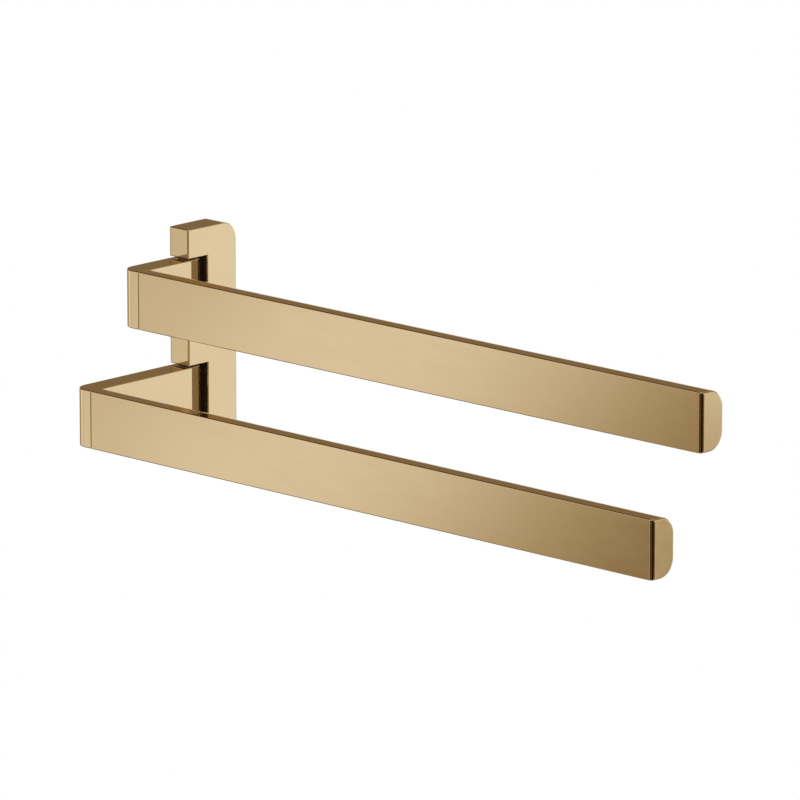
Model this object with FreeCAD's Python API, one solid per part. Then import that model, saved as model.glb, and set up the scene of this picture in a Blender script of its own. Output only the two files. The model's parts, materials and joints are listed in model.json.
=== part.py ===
import FreeCAD, Part
import math
import os

# Wall-mounted towel holder with two swing arms, in millimetres.
# X runs along the wall, Z is up, and the wall is the plane Y = 0.
# At rest both arms point straight out from the wall, towards -Y.
# The origin is the centre of the wall plate, on the wall.

# Overall driving sizes
projection = 440.0
arm_height = 33.5
arm_pitch = 62.4
bar_thickness = 17.0
soft_edge_radius = 10.5
edge_break = 0.4
upper_reach = 47.0
lower_reach = 85.2
corner_radius = 8.5

# Bracket
bracket_depth = 15.0
column_width = 23.0
lug_length = 15.5
end_lug_height = 17.0
arm_gap = 0.9

# Arm leg and knuckle
leg_wall_gap = 1.5
knuckle_inset = 0.75
knuckle_taper_length = 5.75

# Hollow bar, its spigot and its end cap
bar_wall = 2.5
braze_gap = 0.1
spigot_length = 24.0
cap_plate = 3.0
cap_corner_radius = 2.4
cap_spigot_length = 9.0

# Pivot pin and the screw that holds it in
pin_radius = 3.0
pin_seat_gap = 0.02
pin_end_chamfer = 0.5
top_cover = 5.0
pin_end_gap = 0.5
pin_screw_radius = 4.0
pin_screw_length = 6.0
pin_screw_inset = 0.6
pin_screw_socket_width = 4.0
pin_screw_socket_depth = 3.0

# Bushes, slide washers and friction rings on the pin
bush_wall = 1.0
bush_length = 12.0
bush_flange_radius = 5.7
bush_flange = 0.45
bush_running_gap = 0.05
bush_seat_gap = 0.02
washer_thickness = 0.3
washer_radius = 5.5
washer_bore_gap = 0.1
ring_groove_depth = 0.45
ring_groove_width = 1.8
ring_width = 1.5
ring_chamfer = 0.3
ring_gap = 0.05

# Wall plate, the pocket that drops over it, and the clamp screw
plate_width = 15.0
plate_end_cover = 17.0
plate_thickness = 3.0
plate_bevel = 1.8
plate_gap = 0.15
screw_head_room = 3.0
wall_screw_spacing = 70.0
wall_screw_hole_radius = 2.25
wall_screw_head_radius = 4.2
clamp_screw_radius = 2.0
clamp_screw_length = 10.0
clamp_screw_cone = 1.5
clamp_screw_point_radius = 0.8
clamp_screw_socket_width = 2.0
clamp_screw_socket_depth = 2.0
clamp_screw_wall = 1.4
thread_gap = 0.03

# Overrun of every cutting body past the face that it opens
overrun = 1.0

# How near an edge lies to a place to be taken for the one there
same_place = 0.005

# Middle direction of an arc from the left to the wall side, in degrees
left_wall_middle = 135.0
hex_sides = 6
full_turn = 360.0

# Places worked out from the sizes above
column_left = -column_width / 2
column_right = column_width / 2
lug_left = column_left - lug_length
pivot_x = lug_left + bracket_depth / 2
pivot_y = -bracket_depth / 2
mouth_height = arm_height + 2 * arm_gap
bracket_height = 2 * end_lug_height + arm_pitch + mouth_height
bracket_top = bracket_height / 2
bracket_bottom = -bracket_height / 2
plate_height = bracket_height - 2 * plate_end_cover
upper_mid = arm_pitch / 2
lower_mid = -arm_pitch / 2
leg_outer_y = -leg_wall_gap
leg_inner_y = -bracket_depth
knuckle_radius = bracket_depth / 2 - knuckle_inset
seam_y = leg_inner_y
bar_end_y = -projection + cap_plate
bar_soft_radius = min(soft_edge_radius, arm_height / 2, bar_thickness - edge_break)
bush_bore = pin_radius + bush_running_gap
bush_radius = bush_bore + bush_wall
knuckle_bore = bush_radius + bush_seat_gap
pin_bore = pin_radius + pin_seat_gap
bore_top = bracket_top - top_cover
pin_top = bore_top - pin_end_gap
pin_screw_bottom = bracket_bottom + pin_screw_inset
pin_bottom = pin_screw_bottom + pin_screw_length
pocket_depth = plate_thickness + screw_head_room
clamp_y = -(clamp_screw_wall + clamp_screw_radius)

Z_AXIS = FreeCAD.Vector(0, 0, 1)
Y_AXIS = FreeCAD.Vector(0, 1, 0)


def point(x, y, z=0.0):
    return FreeCAD.Vector(x, y, z)


def box(low, high):
    size = high - low
    return Part.makeBox(size.x, size.y, size.z, low)


def cylinder(radius, x, y, z_low, z_high):
    return Part.makeCylinder(radius, z_high - z_low, point(x, y, z_low), Z_AXIS)


def line(start, end):
    return Part.LineSegment(start, end).toShape()


def arc(start, middle, end):
    return Part.Arc(start, middle, end).toShape()


def circle_point(centre, radius, degrees):
    """Point on a circle in the XY plane."""
    angle = math.radians(degrees)
    return centre + point(radius * math.cos(angle), radius * math.sin(angle))


def soft_profile(left, right, mid_z, half_height, soft):
    """Bar section in the XZ plane: broken edges on its left, softly rounded ones on its right."""
    soft = min(soft, right - left - edge_break)
    to_middle = soft * (1 - math.sqrt(0.5))

    def corner_place(x, drop, z_sign):
        return point(x, 0, mid_z + z_sign * (half_height - drop))

    edges = []
    for z_sign in (1, -1):
        side_start = corner_place(left, edge_break, z_sign)
        flat_start = corner_place(left + edge_break, 0, z_sign)
        flat_end = corner_place(right - soft, 0, z_sign)
        round_middle = corner_place(right - to_middle, to_middle, z_sign)
        round_end = corner_place(right, soft, z_sign)
        edges += [line(side_start, flat_start), line(flat_start, flat_end),
                  arc(flat_end, round_middle, round_end)]
    edges.append(line(corner_place(left, edge_break, 1), corner_place(left, edge_break, -1)))
    if half_height - soft > same_place:
        edges.append(line(corner_place(right, soft, 1), corner_place(right, soft, -1)))
    return Part.Wire(Part.__sortEdges__(edges))


def soft_bar(left, mid_z, y_start, y_end, inset=0.0):
    """Solid with the bars' section, from y_start out to y_end, drawn in by inset on every side."""
    soft = max(bar_soft_radius - inset, edge_break)
    section = soft_profile(left + inset, left + bar_thickness - inset, mid_z,
                           arm_height / 2 - inset, soft)
    section.translate(point(0, y_start))
    return Part.Face(section).extrude(point(0, y_end - y_start))


def soft_edge_cutter(x, z, z_sign, radius, y_start, y_end):
    """What is cut from a square edge at (x, z) along Y to round it."""
    inner_x = x - radius
    inner_z = z - z_sign * radius
    low = point(inner_x, y_end, min(inner_z, z + z_sign * overrun))
    high = point(x + overrun, y_start, max(inner_z, z + z_sign * overrun))
    round_bar = Part.makeCylinder(radius, y_start - y_end + 2 * overrun,
                                  point(inner_x, y_end - overrun, inner_z), Y_AXIS)
    return box(low, high).cut(round_bar)


def hex_socket(width, depth, x, y, z_mouth):
    """Hexagonal key socket that opens downwards at z_mouth."""
    corner = width / 2 / math.cos(math.pi / hex_sides)
    mouth = point(x, y, z_mouth - overrun)
    rim = [circle_point(mouth, corner, full_turn / hex_sides * side) for side in range(hex_sides + 1)]
    return Part.Face(Part.makePolygon(rim)).extrude(point(0, 0, depth + overrun))


def lies_at(edge, axis, value):
    """True if the whole edge lies in the plane where one coordinate has this value."""
    ends = [edge.BoundBox.XMin, edge.BoundBox.YMin, edge.BoundBox.ZMin,
            edge.BoundBox.XMax, edge.BoundBox.YMax, edge.BoundBox.ZMax]
    return abs(ends[axis] - value) < same_place and abs(ends[axis + 3] - value) < same_place


def broken(solid, chosen):
    """Take off the sharpness of the edges of a solid for which chosen(edge) is true."""
    return solid.makeChamfer(edge_break, [edge for edge in solid.Edges if chosen(edge)])


def wall_pocket():
    """Dovetailed pocket in the back of the column that hooks over the wall plate."""
    half_width = plate_width / 2 + plate_gap
    mouth = plate_height / 2 - plate_bevel + plate_gap
    inner = plate_height / 2 + plate_gap
    section = [point(-half_width, overrun, mouth), point(-half_width, 0, mouth),
               point(-half_width, -plate_thickness, inner), point(-half_width, -pocket_depth, inner),
               point(-half_width, -pocket_depth, -inner), point(-half_width, overrun, -inner)]
    section.append(section[0])
    return Part.Face(Part.makePolygon(section)).extrude(point(2 * half_width, 0))


def bracket_body():
    body = box(point(lug_left, leg_inner_y, bracket_bottom), point(column_right, 0, bracket_top))
    for z, z_sign in ((bracket_top, 1), (bracket_bottom, -1)):
        body = body.cut(soft_edge_cutter(column_right, z, z_sign, soft_edge_radius,
                                         overrun, leg_inner_y - overrun))
    for mid in (upper_mid, lower_mid):
        body = body.cut(box(point(lug_left - overrun, leg_inner_y - overrun, mid - mouth_height / 2),
                            point(column_left, overrun, mid + mouth_height / 2)))
    body = broken(body, bracket_rim)
    body = body.cut(wall_pocket())
    body = body.cut(cylinder(pin_bore, pivot_x, pivot_y, bracket_bottom - overrun, bore_top))
    body = body.cut(cylinder(pin_screw_radius + thread_gap, pivot_x, pivot_y,
                             bracket_bottom - overrun, pin_bottom))
    body = body.cut(cylinder(clamp_screw_radius + thread_gap, 0, clamp_y,
                             bracket_bottom - overrun, -plate_height / 2 + plate_bevel))
    return body


def bracket_rim(edge):
    """True for the bracket's edges on its front and on the lugs' left faces."""
    if lies_at(edge, 1, leg_inner_y):
        return True
    return lies_at(edge, 0, lug_left) and not lies_at(edge, 1, 0)


def wall_plate():
    half_width = plate_width / 2
    half = plate_height / 2
    section = [point(-half_width, 0, half - plate_bevel), point(-half_width, -plate_thickness, half),
               point(-half_width, -plate_thickness, -half), point(-half_width, 0, -half + plate_bevel)]
    section.append(section[0])
    plate = Part.Face(Part.makePolygon(section)).extrude(point(plate_width, 0))
    for z in (-wall_screw_spacing / 2, wall_screw_spacing / 2):
        sink = min(wall_screw_head_radius - wall_screw_hole_radius, plate_thickness / 2)
        plate = plate.cut(Part.makeCylinder(wall_screw_hole_radius, plate_thickness + 2 * overrun,
                                            point(0, -plate_thickness - overrun, z), Y_AXIS))
        plate = plate.cut(Part.makeCone(wall_screw_hole_radius + sink, wall_screw_hole_radius, sink,
                                        point(0, -plate_thickness, z), Y_AXIS))
    return plate


def clamp_screw():
    """Set screw driven up from below, whose cone draws the bracket on to the wall plate."""
    tip = -plate_height / 2 - plate_gap
    shoulder = tip - clamp_screw_cone
    foot = tip - clamp_screw_length
    screw = cylinder(clamp_screw_radius, 0, clamp_y, foot, shoulder)
    screw = screw.fuse(Part.makeCone(clamp_screw_radius, clamp_screw_point_radius, clamp_screw_cone,
                                     point(0, clamp_y, shoulder), Z_AXIS))
    return screw.cut(hex_socket(clamp_screw_socket_width, clamp_screw_socket_depth, 0, clamp_y, foot))


def pivot_pin():
    pin = cylinder(pin_radius, pivot_x, pivot_y, pin_bottom, pin_top)
    pin = pin.makeChamfer(pin_end_chamfer, [edge for edge in pin.Edges
                                            if lies_at(edge, 2, pin_bottom) or lies_at(edge, 2, pin_top)])
    for mid in (upper_mid, lower_mid):
        low = mid - ring_groove_width / 2
        high = mid + ring_groove_width / 2
        groove = cylinder(pin_radius + overrun, pivot_x, pivot_y, low, high)
        core = cylinder(pin_radius - ring_groove_depth, pivot_x, pivot_y, low, high)
        pin = pin.cut(groove.cut(core))
    return pin


def pin_screw():
    """Set screw that closes the pin's bore from below."""
    screw = cylinder(pin_screw_radius, pivot_x, pivot_y, pin_screw_bottom, pin_bottom)
    return screw.cut(hex_socket(pin_screw_socket_width, pin_screw_socket_depth,
                                pivot_x, pivot_y, pin_screw_bottom))


def knuckle_tangent(corner, side):
    """Angle, in degrees, where a line from a leg's corner touches the knuckle's circle."""
    away = corner - point(pivot_x, pivot_y)
    opening = math.degrees(math.acos(knuckle_radius / away.Length))
    return math.degrees(math.atan2(away.y, away.x)) + side * opening


def leg_plan(left):
    """Outline of a leg from above: round outer corner, leg and tapered round knuckle."""
    centre = point(pivot_x, pivot_y)
    bend = point(left + corner_radius, leg_outer_y - corner_radius)
    taper_x = pivot_x - knuckle_taper_length
    inner_corner = point(taper_x, leg_inner_y)
    outer_corner = point(taper_x, leg_outer_y)
    inner_angle = knuckle_tangent(inner_corner, 1)
    outer_angle = knuckle_tangent(outer_corner, -1)
    inner_touch = circle_point(centre, knuckle_radius, inner_angle)
    outer_touch = circle_point(centre, knuckle_radius, outer_angle)
    nose = circle_point(centre, knuckle_radius, (inner_angle + outer_angle) / 2)
    bend_start = point(left, leg_outer_y - corner_radius)
    bend_end = point(left + corner_radius, leg_outer_y)
    seam_corner = point(left, seam_y)
    return Part.Wire([
        arc(bend_start, circle_point(bend, corner_radius, left_wall_middle), bend_end),
        line(bend_end, outer_corner),
        line(outer_corner, outer_touch),
        arc(outer_touch, nose, inner_touch),
        line(inner_touch, inner_corner),
        line(inner_corner, seam_corner),
        line(seam_corner, bend_start),
    ])


def arm_leg(reach, mid):
    """Knuckle and leg in one forging, with the spigot that the hollow bar slides on."""
    left = pivot_x - reach
    low = mid - arm_height / 2
    high = mid + arm_height / 2
    plan = leg_plan(left)
    plan.translate(point(0, 0, low))
    leg = Part.Face(plan).extrude(point(0, 0, arm_height))
    leg = broken(leg, lambda edge: leg_rim(edge, left, low, high))
    spigot = soft_bar(left, mid, seam_y, seam_y - spigot_length, bar_wall + braze_gap)
    leg = leg.fuse(spigot)
    return leg.cut(cylinder(knuckle_bore, pivot_x, pivot_y, low - overrun, high + overrun))


def leg_rim(edge, left, low, high):
    """True for a leg's top and bottom edges and for the upright one beside the seam."""
    beside_seam = lies_at(edge, 0, left) and lies_at(edge, 1, seam_y)
    return beside_seam or lies_at(edge, 2, low) or lies_at(edge, 2, high)


def arm_bar(reach, mid):
    left = pivot_x - reach
    outside = soft_bar(left, mid, seam_y, bar_end_y)
    inside = soft_bar(left, mid, seam_y + overrun, bar_end_y - overrun, bar_wall)
    return outside.cut(inside)


def cap_plan(left):
    """Outline of an end cap's plate from above, with its left corner rounded."""
    right = left + bar_thickness
    radius = min(cap_corner_radius, cap_plate)
    centre = point(left + radius, -projection + radius)
    return Part.Wire([
        line(point(right, bar_end_y), point(left, bar_end_y)),
        line(point(left, bar_end_y), point(left, -projection + radius)),
        arc(point(left, -projection + radius), circle_point(centre, radius, -left_wall_middle),
            point(left + radius, -projection)),
        line(point(left + radius, -projection), point(right, -projection)),
        line(point(right, -projection), point(right, bar_end_y)),
    ])


def arm_end_cap(reach, mid):
    left = pivot_x - reach
    right = left + bar_thickness
    low = mid - arm_height / 2
    high = mid + arm_height / 2
    plan = cap_plan(left)
    plan.translate(point(0, 0, low))
    plate = Part.Face(plan).extrude(point(0, 0, arm_height))
    for z, z_sign in ((high, 1), (low, -1)):
        plate = plate.cut(soft_edge_cutter(right, z, z_sign, bar_soft_radius,
                                           bar_end_y + overrun, -projection - overrun))
    plate = broken(plate, lambda edge: cap_rim(edge, left, low, high))
    spigot = soft_bar(left, mid, bar_end_y + cap_spigot_length, bar_end_y, bar_wall + braze_gap)
    return plate.fuse(spigot)


def cap_rim(edge, left, low, high):
    """True for the edges round a cap's end face and along its left side's top and bottom."""
    if lies_at(edge, 1, bar_end_y):
        return False
    soft_start = left + bar_thickness - bar_soft_radius
    on_flat = lies_at(edge, 2, low) or lies_at(edge, 2, high)
    if on_flat and edge.BoundBox.XMin < soft_start - same_place:
        return True
    return lies_at(edge, 1, -projection) and edge.BoundBox.XMax > left + cap_corner_radius + same_place


def bush(mid, z_sign):
    """Flanged plain bush pressed into one end of a knuckle."""
    rim = mid + z_sign * arm_height / 2
    inner_end = rim - z_sign * bush_length
    flange_end = rim + z_sign * bush_flange
    sleeve = cylinder(bush_radius, pivot_x, pivot_y, min(inner_end, rim), max(inner_end, rim))
    flange = cylinder(bush_flange_radius, pivot_x, pivot_y, min(rim, flange_end), max(rim, flange_end))
    bore = cylinder(bush_bore, pivot_x, pivot_y, mid - mouth_height / 2, mid + mouth_height / 2)
    return sleeve.fuse(flange).cut(bore)


def slide_washers(mid):
    """Two thin washers, one on each lug face that an arm turns between."""
    washers = []
    for face, z_sign in ((mid + mouth_height / 2, -1), (mid - mouth_height / 2, 1)):
        inner = face + z_sign * washer_thickness
        disc = cylinder(washer_radius, pivot_x, pivot_y, min(face, inner), max(face, inner))
        hole = cylinder(pin_radius + washer_bore_gap, pivot_x, pivot_y,
                        min(face, inner) - overrun, max(face, inner) + overrun)
        washers.append(disc.cut(hole))
    return Part.makeCompound(washers)


def friction_ring(mid):
    """Square-cut rubber ring in the pin's groove that steadies an arm between its bushes."""
    inner = pin_radius - ring_groove_depth
    outer = knuckle_bore - ring_gap
    half = ring_width / 2
    section = [(inner, -half), (outer - ring_chamfer, -half), (outer, ring_chamfer - half),
               (outer, half - ring_chamfer), (outer - ring_chamfer, half), (inner, half)]
    rim = [point(pivot_x + out, pivot_y, mid + up) for out, up in section]
    return Part.Face(Part.makePolygon(rim + rim[:1])).revolve(point(pivot_x, pivot_y), Z_AXIS, full_turn)


def build_parts():
    parts = {
        "bracket_body": bracket_body(),
        "wall_plate": wall_plate(),
        "clamp_screw": clamp_screw(),
        "pivot_pin": pivot_pin(),
        "pin_screw": pin_screw(),
    }
    for arm, reach, mid in (("upper", upper_reach, upper_mid), ("lower", lower_reach, lower_mid)):
        parts[arm + "_arm_leg"] = arm_leg(reach, mid)
        parts[arm + "_arm_bar"] = arm_bar(reach, mid)
        parts[arm + "_arm_end_cap"] = arm_end_cap(reach, mid)
        parts[arm + "_top_bush"] = bush(mid, 1)
        parts[arm + "_bottom_bush"] = bush(mid, -1)
        parts[arm + "_slide_washers"] = slide_washers(mid)
        parts[arm + "_friction_ring"] = friction_ring(mid)
    return parts


os.makedirs("parts", exist_ok=True)
for name, shape in build_parts().items():
    shape.exportStep("parts/" + name + ".step")
    print(name, "solids", len(shape.Solids), "valid", shape.isValid(), "volume", round(shape.Volume, 1))
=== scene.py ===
import json
import math

import bmesh
import bpy
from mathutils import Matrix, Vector


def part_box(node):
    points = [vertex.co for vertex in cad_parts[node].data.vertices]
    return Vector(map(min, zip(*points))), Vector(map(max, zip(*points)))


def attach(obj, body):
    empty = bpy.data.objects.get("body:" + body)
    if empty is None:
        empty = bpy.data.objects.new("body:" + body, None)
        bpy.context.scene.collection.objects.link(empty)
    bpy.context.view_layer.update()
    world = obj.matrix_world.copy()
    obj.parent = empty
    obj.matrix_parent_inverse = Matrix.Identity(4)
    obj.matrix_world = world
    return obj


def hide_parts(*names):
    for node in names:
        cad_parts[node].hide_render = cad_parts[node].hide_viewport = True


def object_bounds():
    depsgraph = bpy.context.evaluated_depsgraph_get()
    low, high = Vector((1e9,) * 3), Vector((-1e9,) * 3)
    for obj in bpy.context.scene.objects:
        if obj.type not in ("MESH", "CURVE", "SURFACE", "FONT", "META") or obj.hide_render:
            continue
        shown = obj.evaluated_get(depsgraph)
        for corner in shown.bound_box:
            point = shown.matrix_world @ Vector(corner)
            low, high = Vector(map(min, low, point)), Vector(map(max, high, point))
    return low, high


# Wall-mounted towel holder with two swing arms, in metres.
# X runs along the wall, Z is up, and the arms point along -Y at rest.

MM = 0.001

# Rounding of the polished pieces
SOFT_RADIUS = 10.5 * MM
EDGE_ROUND = 0.55 * MM
SIDE_ROUND = 0.85 * MM
SEAM_ROUND = 0.08 * MM
CORNER_RADIUS = 8.5 * MM
SEAM_LEAN = 0.025 * MM
CAP_ROUND = 2.4 * MM
CAP_RIM = 1.1 * MM
KNUCKLE_RADIUS = 6.75 * MM
TAPER_LENGTH = 5.05 * MM

# Bracket: its notches, and the openings in its back and underside
LUG_LENGTH = 15.5 * MM
NOTCH_GAP = 0.9 * MM
PIN_BORE = 3.02 * MM
TOP_COVER = 5.0 * MM
PIN_SCREW_BORE = 4.03 * MM
CLAMP_BORE = 2.03 * MM
POCKET_GAP = 0.15 * MM
POCKET_DEPTH = 6.0 * MM
KNUCKLE_BORE = 4.07 * MM

# Segments of each kind of round, and how far a cutting body overruns
ARC_SEGMENTS = 32
ROUND_SEGMENTS = 5
SEAM_SEGMENTS = 3
BORE_SEGMENTS = 72
OVERRUN = 1.0 * MM

# Two points this near are one point, and ends this near to a plane lie in it
SAME_POINT = 1e-7
SAME_PLANE = 1e-6

# Shading: the angle at which faces stop being smooth, how much a corner's largest face counts for,
# and the cosine above which a face counts as square on to an axis
SMOOTH_ANGLE = math.radians(35.0)
FLATNESS = 4
SQUARE = 0.999

# Camera, fitted to the photograph's edges
LENS = 369.41
SENSOR = 36.0
VIEW_DEPTH = 100.0
CAMERA_AZIMUTH = math.radians(-46.27)
CAMERA_ELEVATION = math.radians(13.455)
CAMERA_DISTANCE = 4.6604
CAMERA_AIM = Vector((0.04713, -0.1103, -0.03006))

# Floor, and the soft light above it
FLOOR_DROP = 1.05
FLOOR_RADIUS = 0.8
FLOOR_CENTRE_Y = -0.2
FLOOR_COLOUR = (0.86, 0.86, 0.85, 1.0)
FLOOR_ROUGHNESS = (0.85, 0.95)
FLOOR_GRAIN = 40.0
SOFTBOX_HEIGHT = 2.4
SOFTBOX_SIZE = 1.6
SOFTBOX_POWER = 14.0

# Studio flags: soft-edged shades in the white light, by azimuth and elevation in degrees.
# Azimuth 90 is the wall side and 360 is +X. Across and up each hold the two soft edges of a shade.
# Its depth is the share of light that it takes. A slant leans it by that much per degree up.
GEL_RADIUS = 60.0
GEL_SEGMENTS = 64
GEL_RINGS = 32
GEL_TINT_POWERS = (1.0, 1.25, 1.7)
VIEW_ELEVATION = -13.46
FIRST_AZIMUTH = 20.0
FULL_TURN = 360.0
ALL_ROUND = ((0, 1), (399, 400))
OVERHEAD = ((1, 6), (58, 68))
LEVEL = ((-24, -20), (-8, -5))
LEVEL_NARROW = ((-16, -14.8), (-12.2, -11))
BOTH_CAPS = ((-20, -19), (-13.5, -13.0))
LOWER_CAP = ((-20, -19), (-14.4, -13.7))
BEFORE_CAPS = ((250, 272), (313.0, 314.2))
AFTER_CAPS = ((316.4, 317.4), (321, 328))
FLAGS = (
    # Overhead, and darker towards the wall
    {"across": ALL_ROUND, "up": OVERHEAD, "depth": 0.62},
    {"across": ((21, 30), (105, 128)), "up": OVERHEAD, "depth": 0.35},
    {"across": ((48, 60), (125, 133)), "up": ((15, 23), (58, 66)), "depth": 0.85},
    # Low down, for the undersides' edges
    {"across": ((40, 60), (131, 137)), "up": ((-62, -55), (-20, -15.2)), "depth": 0.88},
    {"across": ((290, 300), (350, 379)), "up": ((-62, -55), (-26, -18)), "depth": 0.6},
    # Level, from the wall round to the camera's left: what the left-hand faces show
    {"across": ((25, 45), (85, 110)), "up": ((-30, -24), (-5, 1)), "depth": 0.6},
    {"across": ((110, 128), (139, 141)), "up": LEVEL, "depth": 0.055},
    {"across": ((110, 128), (133.76, 135.46)), "up": LEVEL, "depth": 0.22, "slant": 0.7},
    {"across": ((136.24, 139.81), (141, 158)), "up": LEVEL, "depth": 0.68, "slant": 0.8},
    {"across": ((148, 168), (225, 318)), "up": LEVEL, "depth": 0.5},
    {"across": ((148, 168), (198, 212)), "up": LEVEL_NARROW, "depth": 0.95},
    {"across": ((238, 252), (270, 318)), "up": LEVEL_NARROW, "depth": 0.8},
    # Level, on the camera's right: what the end caps and the knuckles show
    {"across": BEFORE_CAPS, "up": BOTH_CAPS, "depth": 0.26},
    {"across": BEFORE_CAPS, "up": LOWER_CAP, "depth": 0.19},
    {"across": AFTER_CAPS, "up": BOTH_CAPS, "depth": 0.34},
    {"across": AFTER_CAPS, "up": LOWER_CAP, "depth": 0.23},
)

# Upright cards near the holder: from where to where on the floor plan, the heights of the lower and
# upper edges, and the share of light that each card lets through
CARDS = (
    # To the right, for the knuckles
    {"plan": ((0.55, -0.497), (0.55, -0.1)), "heights": (-0.45, -0.06), "share": 0.28},
    {"plan": ((0.56, -0.33), (0.56, -0.1)), "heights": (-0.45, -0.06), "share": 0.08},
    # Close in front of the free ends, for the caps' dark left edges
    {"plan": ((-0.0765, -0.4445), (-0.0662, -0.4445)), "heights": (0.01, 0.048), "share": 0.05},
    {"plan": ((-0.1147, -0.4445), (-0.1044, -0.4445)), "heights": (-0.052, -0.014), "share": 0.05},
)

# Finishes: two linear colours and two roughnesses that noise blends, and the grain of a fine relief.
# Each slot of the record has one, and the bracket has two darker ones besides, which are painted shade
# for its notches and back edge.
NO_STRETCH = (1.0, 1.0, 1.0)
FINISHES = {
    "polished_bronze": {
        "colours": ((0.742, 0.588, 0.360), (0.722, 0.568, 0.342)), "metallic": 1.0,
        "roughness": (0.05, 0.075),
        "grain": 160.0, "stretch": (1.0, 0.25, 1.0), "relief": 0.0006 * MM},
    "stainless_steel": {
        "colours": ((0.62, 0.62, 0.60), (0.50, 0.50, 0.49)), "metallic": 1.0,
        "roughness": (0.24, 0.34),
        "grain": 900.0, "stretch": (1.0, 1.0, 0.1), "relief": 0.004 * MM},
    "zinc_steel": {
        "colours": ((0.55, 0.56, 0.57), (0.47, 0.50, 0.54)), "metallic": 1.0,
        "roughness": (0.36, 0.5),
        "grain": 420.0, "stretch": NO_STRETCH, "relief": 0.006 * MM},
    "bush_polymer": {
        "colours": ((0.085, 0.058, 0.028), (0.120, 0.085, 0.045)), "metallic": 0.0,
        "roughness": (0.45, 0.6),
        "grain": 1500.0, "stretch": NO_STRETCH, "relief": 0.01 * MM},
    # Painted shade, not a finish of the metal: near-black bronze laid on the notch's back wall and the
    # bracket's back edge
    "painted_shade_deep": {
        "colours": ((0.110, 0.078, 0.046), (0.095, 0.066, 0.038)), "metallic": 1.0,
        "roughness": (0.45, 0.6),
        "grain": 600.0, "stretch": NO_STRETCH, "relief": 0.004 * MM},
    # Painted shade, not a finish of the metal: darker bronze laid on the lugs' faces inside the
    # notches
    "painted_shade_soft": {
        "colours": ((0.42, 0.32, 0.19), (0.38, 0.29, 0.17)), "metallic": 1.0,
        "roughness": (0.22, 0.3),
        "grain": 300.0, "stretch": NO_STRETCH, "relief": 0.001 * MM},
    "ring_rubber": {
        "colours": ((0.018, 0.018, 0.018), (0.034, 0.033, 0.032)), "metallic": 0.0,
        "roughness": (0.65, 0.8),
        "grain": 2000.0, "stretch": NO_STRETCH, "relief": 0.015 * MM},
}

# Scale of the colours' variation, and the noise that it and the grain come from
TONE_SCALE = 14.0
COARSE_DETAIL = 3.0
FINE_DETAIL = 4.0
NOISE_SPAN = (0.3, 0.7)
BUMP_STRENGTH = 0.5


def arc_points(centre, radius, start, end, segments):
    """Points on an arc in a plane, from one angle to another, in degrees."""
    points = []
    for i in range(segments + 1):
        angle = math.radians(start + (end - start) * i / segments)
        points.append((centre[0] + radius * math.cos(angle), centre[1] + radius * math.sin(angle)))
    return points


def join_points(*runs):
    """One closed outline out of several runs, without the points that fall together."""
    outline = []
    for run in runs:
        for p in run:
            if not outline or math.dist(p, outline[-1]) > SAME_POINT:
                outline.append(p)
    if math.dist(outline[0], outline[-1]) < SAME_POINT:
        outline.pop()
    return outline


def soft_section(left, right, middle, half_height, soft, crisp):
    """Bar section: crisp corners on the left and softly rounded ones on the right."""
    top = middle + half_height
    bottom = middle - half_height
    return join_points(
        arc_points((left + crisp, bottom + crisp), crisp, 180, 270, ROUND_SEGMENTS),
        arc_points((right - soft, bottom + soft), soft, 270, 360, ARC_SEGMENTS),
        arc_points((right - soft, top - soft), soft, 0, 90, ARC_SEGMENTS),
        arc_points((left + crisp, top - crisp), crisp, 90, 180, ROUND_SEGMENTS))


def skin(rings):
    """Solid through rings of points, all of the same count, with a flat face at either end."""
    mesh = bmesh.new()
    rings = [[mesh.verts.new(p) for p in ring] for ring in rings]
    mesh.faces.new(rings[0])
    mesh.faces.new(list(reversed(rings[-1])))
    for start, end in zip(rings, rings[1:]):
        for i in range(len(start)):
            j = (i + 1) % len(start)
            mesh.faces.new((start[j], start[i], end[i], end[j]))
    bmesh.ops.recalc_face_normals(mesh, faces=mesh.faces)
    return mesh


def prism(outline, axis, low, high):
    """Solid from an outline pulled along Y or Z. The outline's points are (x, z) or (x, y)."""

    def place(p, along):
        return (p[0], along, p[1]) if axis == "Y" else (p[0], p[1], along)

    return skin([[place(p, along) for p in outline] for along in (low, high)])


def to_object(mesh, name):
    """Put a finished mesh into the scene as an object."""
    data = bpy.data.meshes.new(name)
    mesh.to_mesh(data)
    mesh.free()
    piece = bpy.data.objects.new(name, data)
    bpy.context.scene.collection.objects.link(piece)
    return piece


def cut(piece, cutters):
    """Cut closed bodies out of a piece."""
    for cutter in cutters:
        modifier = piece.modifiers.new("cut", "BOOLEAN")
        modifier.operation = "DIFFERENCE"
        modifier.solver = "EXACT"
        modifier.object = cutter
        bpy.context.view_layer.update()
        depsgraph = bpy.context.evaluated_depsgraph_get()
        data = bpy.data.meshes.new_from_object(piece.evaluated_get(depsgraph))
        piece.modifiers.remove(modifier)
        piece.data = data
        bpy.data.objects.remove(cutter)


def round_edges(piece, radius, segments, chosen):
    """Round the edges of a piece for which chosen(edge) is true."""
    mesh = bmesh.new()
    mesh.from_mesh(piece.data)
    edges = [edge for edge in mesh.edges if chosen(edge)]
    bmesh.ops.bevel(mesh, geom=edges, offset=radius, offset_type="OFFSET", segments=segments,
                    profile=0.5, affect="EDGES", clamp_overlap=False)
    mesh.to_mesh(piece.data)
    mesh.free()


def at(edge, axis, value):
    """True if both ends of an edge have this coordinate."""
    return all(abs(vert.co[axis] - value) < SAME_PLANE for vert in edge.verts)


def smooth_faces(vert, face):
    """The faces round a vertex that join on to one of them smoothly."""
    found = {face}
    waiting = [face]
    while waiting:
        for edge in waiting.pop().edges:
            if edge.smooth and vert in edge.verts:
                waiting += [other for other in edge.link_faces if other not in found]
                found.update(edge.link_faces)
    return found


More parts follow.
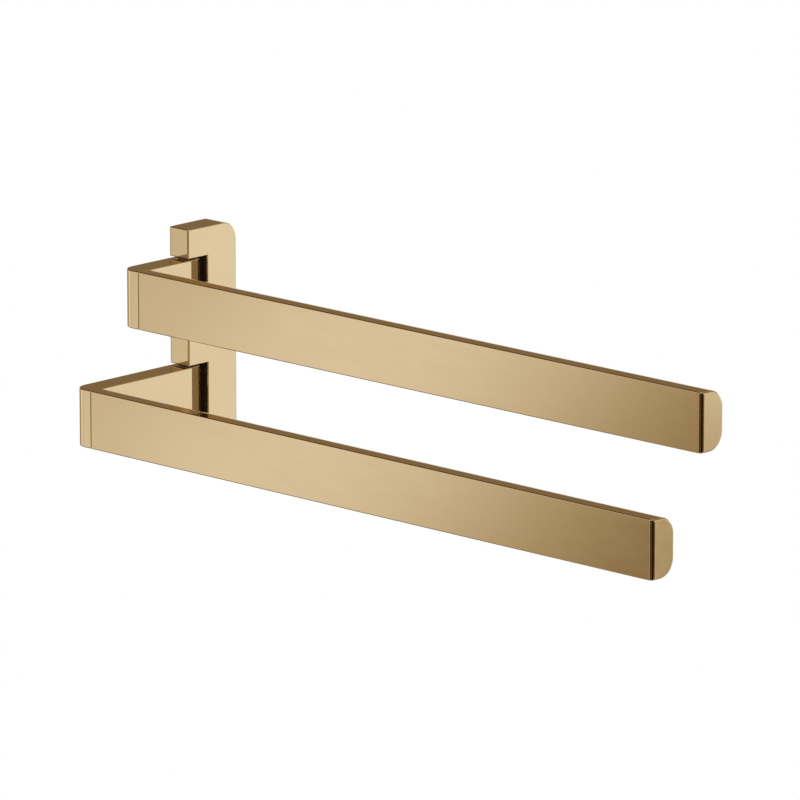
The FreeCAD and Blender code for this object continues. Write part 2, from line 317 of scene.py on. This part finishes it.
def corner_normal(vert, face):
    """Normal at a face's corner, nearly that of the largest face which it joins on to."""
    areas = {other: other.calc_area() for other in smooth_faces(vert, face)}
    largest = max(areas.values())
    total = Vector((0.0, 0.0, 0.0))
    for other, area in areas.items():
        total += other.normal * (area / largest) ** FLATNESS
    return total.normalized()


def polish(piece, crease=lambda edge: False):
    """Smooth shading that keeps flat faces flat and breaks at sharp edges and at chosen creases."""
    mesh = bmesh.new()
    mesh.from_mesh(piece.data)
    for edge in mesh.edges:
        edge.smooth = (len(edge.link_faces) == 2 and edge.calc_face_angle(0.0) < SMOOTH_ANGLE
                       and not crease(edge))
    for face in mesh.faces:
        face.smooth = True
    normals = [corner_normal(corner.vert, face) for face in mesh.faces for corner in face.loops]
    mesh.to_mesh(piece.data)
    mesh.free()
    piece.data.normals_split_custom_set(normals)


def bracket_outline(low, high):
    """Front view of the bracket: column with soft right corners, and three lugs to its left."""
    column_left = low.x + LUG_LENGTH
    notches = []
    for arm in ("lower", "upper"):
        arm_low, arm_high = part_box(arm + "_arm_bar")
        bottom = arm_low.z - NOTCH_GAP
        top = arm_high.z + NOTCH_GAP
        notches = [(low.x, top), (column_left, top), (column_left, bottom), (low.x, bottom)] + notches
    return join_points(
        [(low.x, low.z)],
        arc_points((high.x - SOFT_RADIUS, low.z + SOFT_RADIUS), SOFT_RADIUS, 270, 360, ARC_SEGMENTS),
        arc_points((high.x - SOFT_RADIUS, high.z - SOFT_RADIUS), SOFT_RADIUS, 0, 90, ARC_SEGMENTS),
        [(low.x, high.z)],
        notches)


def bore(x, y, radius, low, high):
    """Round cutting body along Z."""
    circle = arc_points((x, y), radius, 0, 360, BORE_SEGMENTS)[:-1]
    return to_object(prism(circle, "Z", low, high), "bore")


def bracket_cutters(low, high):
    """The pivot's bores, the clamp screw's bore and the pocket for the wall plate."""
    pin_low, pin_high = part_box("pivot_pin")
    screw_low, screw_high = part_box("clamp_screw")
    plate_low, plate_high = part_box("wall_plate")
    pivot = (pin_low + pin_high) / 2
    clamp = (screw_low + screw_high) / 2
    pocket_left = plate_low.x - POCKET_GAP
    pocket_right = plate_high.x + POCKET_GAP
    pocket = [(pocket_left, -POCKET_DEPTH), (pocket_right, -POCKET_DEPTH),
              (pocket_right, OVERRUN), (pocket_left, OVERRUN)]
    return [
        bore(pivot.x, pivot.y, PIN_BORE, low.z - OVERRUN, high.z - TOP_COVER),
        bore(pivot.x, pivot.y, PIN_SCREW_BORE, low.z - OVERRUN, pin_low.z),
        bore(clamp.x, clamp.y, CLAMP_BORE, low.z - OVERRUN, plate_low.z),
        to_object(prism(pocket, "Z", plate_low.z - POCKET_GAP, plate_high.z + POCKET_GAP), "pocket"),
    ]


def bracket():
    """Bracket with rounded left and front edges."""
    low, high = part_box("bracket_body")
    piece = to_object(prism(bracket_outline(low, high), "Y", low.y, high.y), "bracket")

    def side(edge):
        return at(edge, 0, low.x) and (at(edge, 1, low.y) or at(edge, 1, high.y))

    def rim(edge):
        start, end = edge.verts
        if max(start.co.x, end.co.x) < low.x + SIDE_ROUND + SEAM_ROUND:
            return at(edge, 2, start.co.z) and not at(edge, 1, high.y)
        return at(edge, 1, low.y)

    round_edges(piece, SIDE_ROUND, ROUND_SEGMENTS, side)
    round_edges(piece, EDGE_ROUND, ROUND_SEGMENTS, rim)
    cut(piece, bracket_cutters(low, high))
    polish(piece)
    return piece


def paint_shade_in_notches(piece, deep_shade, satin):
    """Painted shade: darker colours on the notches' inner faces and on the back edges, where shade
    falls.
    """
    low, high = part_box("bracket_body")
    column_left = low.x + LUG_LENGTH
    slots = piece.data.materials
    slots.append(deep_shade)
    slots.append(satin)
    for face in piece.data.polygons:
        x, y, z = face.center
        normal = face.normal
        back_wall = normal.x < -SQUARE and abs(x - column_left) < SEAM_ROUND
        left_back = x < low.x + SIDE_ROUND and y > high.y - SIDE_ROUND
        back_edge = left_back and abs(normal.z) < 1 - SQUARE < normal.y
        lug_side = abs(normal.z) > SQUARE and low.z + OVERRUN < z < high.z - OVERRUN
        # Painted shade: the deepest on the notch's back wall and the back edge, a softer one on the
        # lugs' faces inside the notches
        if back_wall or back_edge:
            face.material_index = slots.find(deep_shade.name)
        elif lug_side and x < column_left:
            face.material_index = slots.find(satin.name)


def tangent_angle(centre, corner, side):
    """Where a line from a corner touches the knuckle, as an angle in degrees."""
    away = Vector(corner) - Vector(centre)
    opening = math.acos(KNUCKLE_RADIUS / away.length)
    return math.degrees(math.atan2(away.y, away.x) + side * opening)


def leg_outline(left, pivot, outer, inner):
    """Top view of a leg: round outer corner, straight leg and the tapered round knuckle."""
    taper = pivot.x - TAPER_LENGTH
    centre = (pivot.x, pivot.y)
    inner_angle = tangent_angle(centre, (taper, inner), 1)
    outer_angle = tangent_angle(centre, (taper, outer), -1)
    bend = (left + CORNER_RADIUS, outer - CORNER_RADIUS)
    return join_points(
        [(left + SEAM_LEAN, inner), (taper, inner)],
        arc_points(centre, KNUCKLE_RADIUS, inner_angle, outer_angle, ARC_SEGMENTS),
        [(taper, outer)],
        arc_points(bend, CORNER_RADIUS, 90, 180, ARC_SEGMENTS))


def arm_leg(arm):
    """Leg with its corner and its knuckle. A crease runs where the flats turn into the taper."""
    low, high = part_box(arm + "_arm_leg")
    pin_low, pin_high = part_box("pivot_pin")
    pivot = (pin_low + pin_high) / 2
    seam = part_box(arm + "_arm_bar")[1].y
    taper = pivot.x - TAPER_LENGTH
    piece = to_object(prism(leg_outline(low.x, pivot, high.y, seam), "Z", low.z, high.z), arm + "_leg")

    def rim(edge):
        beside_seam = at(edge, 0, low.x + SEAM_LEAN) and at(edge, 1, seam)
        return beside_seam or at(edge, 2, low.z) or at(edge, 2, high.z)

    round_edges(piece, EDGE_ROUND, ROUND_SEGMENTS, rim)
    cut(piece, [bore(pivot.x, pivot.y, KNUCKLE_BORE, low.z - OVERRUN, high.z + OVERRUN)])
    polish(piece, lambda edge: all(abs(vert.co.x - taper) < EDGE_ROUND for vert in edge.verts))
    return piece


def arm_bar(arm):
    """Straight bar, with fine edges where it meets the cap and the leg."""
    low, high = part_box(arm + "_arm_bar")
    section = soft_section(low.x, high.x, (low.z + high.z) / 2, (high.z - low.z) / 2,
                           SOFT_RADIUS, EDGE_ROUND)
    piece = to_object(prism(section, "Y", low.y, high.y), arm + "_bar")
    round_edges(piece, SEAM_ROUND, SEAM_SEGMENTS, lambda edge: at(edge, 1, low.y))
    round_edges(piece, EDGE_ROUND, ROUND_SEGMENTS, lambda edge: at(edge, 1, high.y))
    polish(piece)
    return piece


def arm_end_cap(arm):
    """Cap whose end face has a rounded rim, widest on the left."""
    low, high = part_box(arm + "_arm_end_cap")
    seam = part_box(arm + "_arm_bar")[0].y
    middle = (low.z + high.z) / 2
    half_height = (high.z - low.z) / 2

    def ring(y, left_inset):
        away = max(low.y + CAP_RIM - y, 0.0)
        inset = CAP_RIM - math.sqrt(CAP_RIM ** 2 - away ** 2)
        section = soft_section(low.x + left_inset, high.x - inset, middle, half_height - inset,
                               SOFT_RADIUS - inset, EDGE_ROUND)
        return [(x, y, z) for x, z in section]

    rim = arc_points((CAP_ROUND, low.y + CAP_ROUND), CAP_ROUND, 180, 270, ARC_SEGMENTS)
    piece = to_object(skin([ring(seam, 0.0)] + [ring(y, inset) for inset, y in rim]), arm + "_end_cap")
    round_edges(piece, SEAM_ROUND, SEAM_SEGMENTS, lambda edge: at(edge, 1, seam))
    polish(piece)
    return piece


def new_material(name):
    """Empty node material with its shader and the rest-frame coordinates."""
    surface = bpy.data.materials.new(name)
    surface.use_nodes = True
    tree = surface.node_tree
    shader = tree.nodes["Principled BSDF"]
    coordinates = tree.nodes.new("ShaderNodeTexCoord").outputs["Object"]
    return surface, tree, shader, coordinates


def noise(tree, coordinates, scale, stretch=NO_STRETCH, detail=COARSE_DETAIL):
    """Noise value in rest-frame coordinates, stretched along the axes."""
    mapping = tree.nodes.new("ShaderNodeMapping")
    mapping.inputs["Scale"].default_value = stretch
    texture = tree.nodes.new("ShaderNodeTexNoise")
    texture.inputs["Scale"].default_value = scale
    texture.inputs["Detail"].default_value = detail
    tree.links.new(coordinates, mapping.inputs["Vector"])
    tree.links.new(mapping.outputs["Vector"], texture.inputs["Vector"])
    return texture.outputs["Fac"]


def spread(tree, value, low, high):
    """Map a noise value on to the span from low to high."""
    node = tree.nodes.new("ShaderNodeMapRange")
    node.inputs["From Min"].default_value = NOISE_SPAN[0]
    node.inputs["From Max"].default_value = NOISE_SPAN[1]
    node.inputs["To Min"].default_value = low
    node.inputs["To Max"].default_value = high
    tree.links.new(value, node.inputs["Value"])
    return node.outputs["Result"]


def blend_colours(tree, value, first, second):
    """Colour between two, as a value from 0 to 1 says."""
    node = tree.nodes.new("ShaderNodeMix")
    node.data_type = "RGBA"
    node.inputs["A"].default_value = (*first, 1.0)
    node.inputs["B"].default_value = (*second, 1.0)
    tree.links.new(value, node.inputs["Factor"])
    return node.outputs["Result"]


def bump(tree, shader, value, depth):
    """Fine relief on a shader's surface."""
    node = tree.nodes.new("ShaderNodeBump")
    node.inputs["Strength"].default_value = BUMP_STRENGTH
    node.inputs["Distance"].default_value = depth
    tree.links.new(value, node.inputs["Height"])
    tree.links.new(node.outputs["Normal"], shader.inputs["Normal"])


def make_finish(name, colours, metallic, roughness, grain, stretch, relief):
    """Material whose colour, roughness and fine relief all follow noise."""
    surface, tree, shader, coordinates = new_material(name)
    shader.inputs["Metallic"].default_value = metallic
    tone = spread(tree, noise(tree, coordinates, TONE_SCALE), 0.0, 1.0)
    tree.links.new(blend_colours(tree, tone, *colours), shader.inputs["Base Color"])
    fine = noise(tree, coordinates, grain, stretch, FINE_DETAIL)
    tree.links.new(spread(tree, fine, *roughness), shader.inputs["Roughness"])
    bump(tree, shader, fine, relief)
    return surface


def make_materials():
    """One material for each finish."""
    return {name: make_finish(name, **look) for name, look in FINISHES.items()}


def paint(piece, surface):
    """Give a piece this one material."""
    piece.data.materials.clear()
    piece.data.materials.append(surface)


def dress_nodes(materials):
    """Give the pieces that stay as they are the material of their slot."""
    for part in frame["record"]["subparts"]:
        paint(frame["nodes"][part["node"]], materials[part["material_slot"]])


def fit(piece, body, node, materials):
    """Finish a piece that stands for a node."""
    paint(piece, materials["polished_bronze"])
    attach(piece, body)
    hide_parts(node)


def build_pieces(materials):
    """The bracket and both arms, each piece on the body that carries it."""
    column = bracket()
    fit(column, "bracket", "bracket_body", materials)
    # Painted shade in the notches and on the back edge, given as darker materials
    paint_shade_in_notches(column, materials["painted_shade_deep"], materials["painted_shade_soft"])
    for arm in ("upper", "lower"):
        body = arm + "_arm"
        fit(arm_leg(arm), body, body + "_leg", materials)
        fit(arm_bar(arm), body, body + "_bar", materials)
        fit(arm_end_cap(arm), body, body + "_end_cap", materials)


class Formula:
    """Numbers worked out by math nodes."""

    def __init__(self, tree):
        self.tree = tree

    def apply(self, operation, *values):
        node = self.tree.nodes.new("ShaderNodeMath")
        node.operation = operation
        for socket, value in zip(node.inputs, values):
            if isinstance(value, (int, float)):
                socket.default_value = value
            else:
                self.tree.links.new(value, socket)
        return node.outputs["Value"]

    def step(self, value, start, end):
        """0 before start, 1 after end, and smooth between them."""
        node = self.tree.nodes.new("ShaderNodeMapRange")
        node.interpolation_type = "SMOOTHSTEP"
        node.inputs["From Min"].default_value = start
        node.inputs["From Max"].default_value = end
        self.tree.links.new(value, node.inputs["Value"])
        return node.outputs["Result"]

    def band(self, value, low, high):
        """1 between two soft edges. Each edge is a pair: where it starts and where it ends."""
        rise = self.step(value, *low)
        fall = self.apply("SUBTRACT", 1.0, self.step(value, *high))
        return self.apply("MULTIPLY", rise, fall)


def studio_light(formula, position):
    """How much light comes from each direction, as the flags leave it."""
    split = formula.tree.nodes.new("ShaderNodeSeparateXYZ")
    formula.tree.links.new(position, split.inputs["Vector"])
    x, y, z = split.outputs
    azimuth = formula.apply("DEGREES", formula.apply("ARCTAN2", y, x))
    azimuth = formula.apply("WRAP", azimuth, FIRST_AZIMUTH + FULL_TURN, FIRST_AZIMUTH)
    rise = formula.apply("ARCSINE", formula.apply("DIVIDE", z, GEL_RADIUS))
    elevation = formula.apply("DEGREES", rise)
    above_view = formula.apply("SUBTRACT", elevation, VIEW_ELEVATION)
    light = 1.0
    for flag in FLAGS:
        lean = formula.apply("MULTIPLY", above_view, flag.get("slant", 0.0))
        across = formula.band(formula.apply("SUBTRACT", azimuth, lean), *flag["across"])
        upwards = formula.band(elevation, *flag["up"])
        shade = formula.apply("MULTIPLY", formula.apply("MULTIPLY", across, upwards), flag["depth"])
        light = formula.apply("MULTIPLY", light, formula.apply("SUBTRACT", 1.0, shade))
    return light


def hang_gel(piece, light, tree):
    """Make a piece a tinted gel that lets this much light through, and only in reflections."""
    tree.nodes.remove(tree.nodes["Principled BSDF"])
    formula = Formula(tree)
    tint = tree.nodes.new("ShaderNodeCombineColor")
    for socket, power in zip(tint.inputs, GEL_TINT_POWERS):
        tree.links.new(formula.apply("POWER", light, power), socket)
    gel = tree.nodes.new("ShaderNodeBsdfTransparent")
    tree.links.new(tint.outputs["Color"], gel.inputs["Color"])
    tree.links.new(gel.outputs["BSDF"], tree.nodes["Material Output"].inputs["Surface"])
    piece.visible_camera = False
    piece.visible_diffuse = False
    piece.visible_shadow = False


def studio_gel():
    """Far dome of flags, which only the metal's reflections show."""
    bpy.ops.mesh.primitive_uv_sphere_add(
        segments=GEL_SEGMENTS, ring_count=GEL_RINGS, radius=GEL_RADIUS)
    dome = bpy.context.object
    dome.name = "studio_gel"
    surface, tree, shader, coordinates = new_material("studio_gel")
    hang_gel(dome, studio_light(Formula(tree), coordinates), tree)
    dome.data.materials.append(surface)


def studio_cards():
    """Upright cards near the holder, which only the metal's reflections show."""
    for i, card in enumerate(CARDS):
        start, end = card["plan"]
        low, high = card["heights"]
        corners = ((*start, low), (*end, low), (*end, high), (*start, high))
        mesh = bmesh.new()
        mesh.faces.new([mesh.verts.new(corner) for corner in corners])
        sheet = to_object(mesh, "studio_card_" + str(i + 1))
        surface, tree, shader, coordinates = new_material(sheet.name)
        hang_gel(sheet, card["share"], tree)
        sheet.data.materials.append(surface)


def studio_world():
    """Plain white light from all round, which is also the background."""
    world = bpy.data.worlds.new("studio")
    bpy.context.scene.world = world
    world.use_nodes = True
    background = world.node_tree.nodes["Background"]
    background.inputs["Color"].default_value = (1.0, 1.0, 1.0, 1.0)
    background.inputs["Strength"].default_value = 1.0
    world.cycles.sampling_method = "NONE"


def floor():
    """Pale round floor well below the holder."""
    height = cad_box[0][2] - FLOOR_DROP
    circle = arc_points((0.0, FLOOR_CENTRE_Y), FLOOR_RADIUS, 0, 360, BORE_SEGMENTS)[:-1]
    disc = to_object(prism(circle, "Z", height - OVERRUN, height), "floor")
    surface, tree, shader, coordinates = new_material("floor")
    shader.inputs["Base Color"].default_value = FLOOR_COLOUR
    grain = noise(tree, coordinates, FLOOR_GRAIN)
    tree.links.new(spread(tree, grain, *FLOOR_ROUGHNESS), shader.inputs["Roughness"])
    disc.data.materials.append(surface)


def softbox():
    """Soft round light from above, for the floor and the duller surfaces."""
    data = bpy.data.lights.new("softbox", "AREA")
    data.shape = "DISK"
    data.size = SOFTBOX_SIZE
    data.energy = SOFTBOX_POWER
    box = bpy.data.objects.new("softbox", data)
    bpy.context.scene.collection.objects.link(box)
    box.location = (0.0, FLOOR_CENTRE_Y, SOFTBOX_HEIGHT)
    box.visible_glossy = False


def camera():
    """Camera at the photograph's viewing angle."""
    data = bpy.data.cameras.new("camera")
    data.lens = LENS
    data.sensor_width = SENSOR
    data.sensor_fit = "HORIZONTAL"
    data.clip_end = VIEW_DEPTH
    back = Vector((math.sin(CAMERA_AZIMUTH) * math.cos(CAMERA_ELEVATION),
                   -math.cos(CAMERA_AZIMUTH) * math.cos(CAMERA_ELEVATION),
                   math.sin(CAMERA_ELEVATION)))
    viewer = bpy.data.objects.new("camera", data)
    bpy.context.scene.collection.objects.link(viewer)
    viewer.location = CAMERA_AIM + back * CAMERA_DISTANCE
    viewer.rotation_euler = (-back).to_track_quat("-Z", "Y").to_euler()
    bpy.context.scene.camera = viewer


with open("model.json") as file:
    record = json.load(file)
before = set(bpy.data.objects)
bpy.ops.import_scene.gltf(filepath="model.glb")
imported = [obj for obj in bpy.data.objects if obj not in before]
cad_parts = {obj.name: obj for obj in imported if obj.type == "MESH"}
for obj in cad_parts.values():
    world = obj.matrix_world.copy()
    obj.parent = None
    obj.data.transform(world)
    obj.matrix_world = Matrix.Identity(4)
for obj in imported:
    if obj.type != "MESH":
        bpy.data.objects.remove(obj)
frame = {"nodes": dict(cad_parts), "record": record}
cad_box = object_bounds()

camera()
surfaces = make_materials()
dress_nodes(surfaces)
build_pieces(surfaces)
studio_world()
studio_gel()
studio_cards()
floor()
softbox()

bpy.context.scene.view_settings.view_transform = "Standard"
